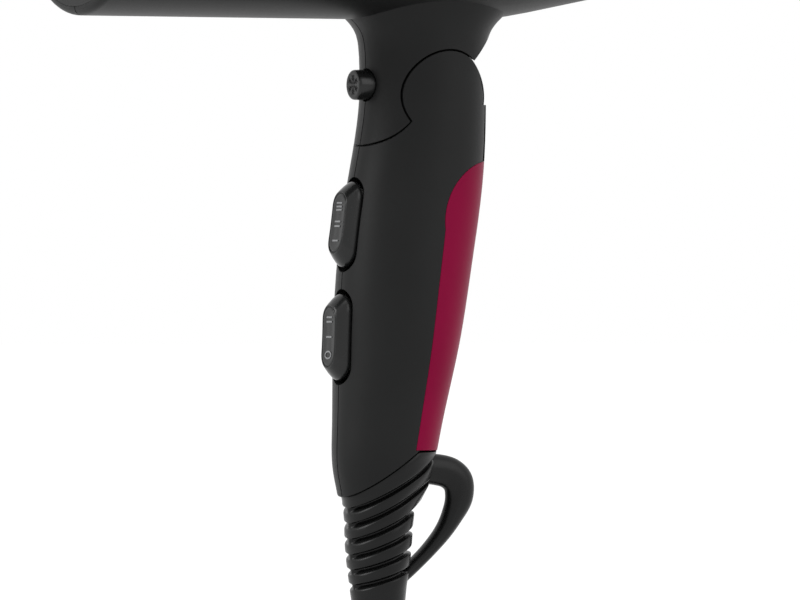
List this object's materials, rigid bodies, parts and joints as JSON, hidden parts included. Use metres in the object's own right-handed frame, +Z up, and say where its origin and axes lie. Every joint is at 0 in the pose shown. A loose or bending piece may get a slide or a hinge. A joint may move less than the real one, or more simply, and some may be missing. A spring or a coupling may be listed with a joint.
{
  "type": "hair dryer",
  "caption": "Hand-held hair dryer with a round barrel, folding handle, two rocker switches, cool shot button, rear grip inlay and a ribbed cord boot with a hanging loop.",
  "frame": {"origin": "centre of the air outlet's bore, at the outlet's front face", "axes": "-X out of the outlet along the barrel's axis, +Z up, handle hanging towards -Z; left and right halves meet at Y = 0"},
  "size_m": [0.1976, 0.074, 0.263],
  "materials": {
    "body_plastic": "satin black moulded plastic",
    "magenta_plastic": "satin magenta moulded plastic",
    "boot_rubber": "smooth black rubber",
    "trim_plastic": "satin black plastic",
    "button_plastic": "satin black plastic",
    "fan_plastic": "black plastic",
    "inner_plastic": "pale heat-proof plastic",
    "mica": "mica board",
    "heater_wire": "resistance wire",
    "mesh_steel": "fine wire mesh",
    "bright_metal": "bright steel",
    "circuit_board": "circuit board",
    "lead_rubber": "insulated lead"
  },
  "bodies": {
    "housing": {"housing_left": "body_plastic", "housing_right": "body_plastic", "outlet_ring": "trim_plastic", "outlet_grille": "trim_plastic", "mica_sleeve": "mica", "heater_cross": "mica", "heating_coils": "heater_wire", "thermostat": "inner_plastic", "thermal_fuse": "bright_metal", "motor": "bright_metal", "rectifier_board": "circuit_board", "motor_mount": "inner_plastic", "intake_grille": "trim_plastic", "dust_filter": "mesh_steel", "cool_shot_switch": "inner_plastic", "cool_shot_spring": "bright_metal"},
    "rotor": {"motor_shaft": "bright_metal", "fan": "fan_plastic", "fan_nut": "bright_metal"},
    "cool_button": {"cool_shot_button": "button_plastic"},
    "handle": {"handle_left": "body_plastic", "handle_right": "body_plastic", "grip_inlay": "magenta_plastic", "cord_boot": "boot_rubber", "cord_clamp": "inner_plastic", "mains_leads": "lead_rubber", "heat_switch": "inner_plastic", "heat_rocker_pin": "bright_metal", "speed_switch": "inner_plastic", "speed_rocker_pin": "bright_metal", "handle_screws": "bright_metal", "hinge_pin": "bright_metal"},
    "heat_cap": {"heat_rocker": "button_plastic"},
    "speed_cap": {"speed_rocker": "button_plastic"}
  },
  "joints": [
    {"name": "handle_fold", "type": "hinge", "parent": "housing", "child": "handle", "pos_m": [0.118, 0, -0.06], "axis": [0, -1, 0], "range_deg": [0, 90]},
    {"name": "fan_spin", "type": "hinge", "parent": "housing", "child": "rotor", "pos_m": [0.14, 0, 0], "axis": [1, 0, 0], "continuous": true},
    {"name": "cool_shot", "type": "slide", "parent": "housing", "child": "cool_button", "axis": [1, 0, 0], "range_m": [0, 0.002], "stiffness_N_per_m": 900, "deforming": ["cool_shot_spring"]},
    {"name": "heat_tilt", "type": "hinge", "parent": "handle", "child": "heat_cap", "pos_m": [0.09892, 0, -0.0992], "axis": [0, 1, 0], "range_deg": [-8, 8]},
    {"name": "speed_tilt", "type": "hinge", "parent": "handle", "child": "speed_cap", "pos_m": [0.09606, 0, -0.13227], "axis": [0, 1, 0], "range_deg": [-8, 8]}
  ]
}
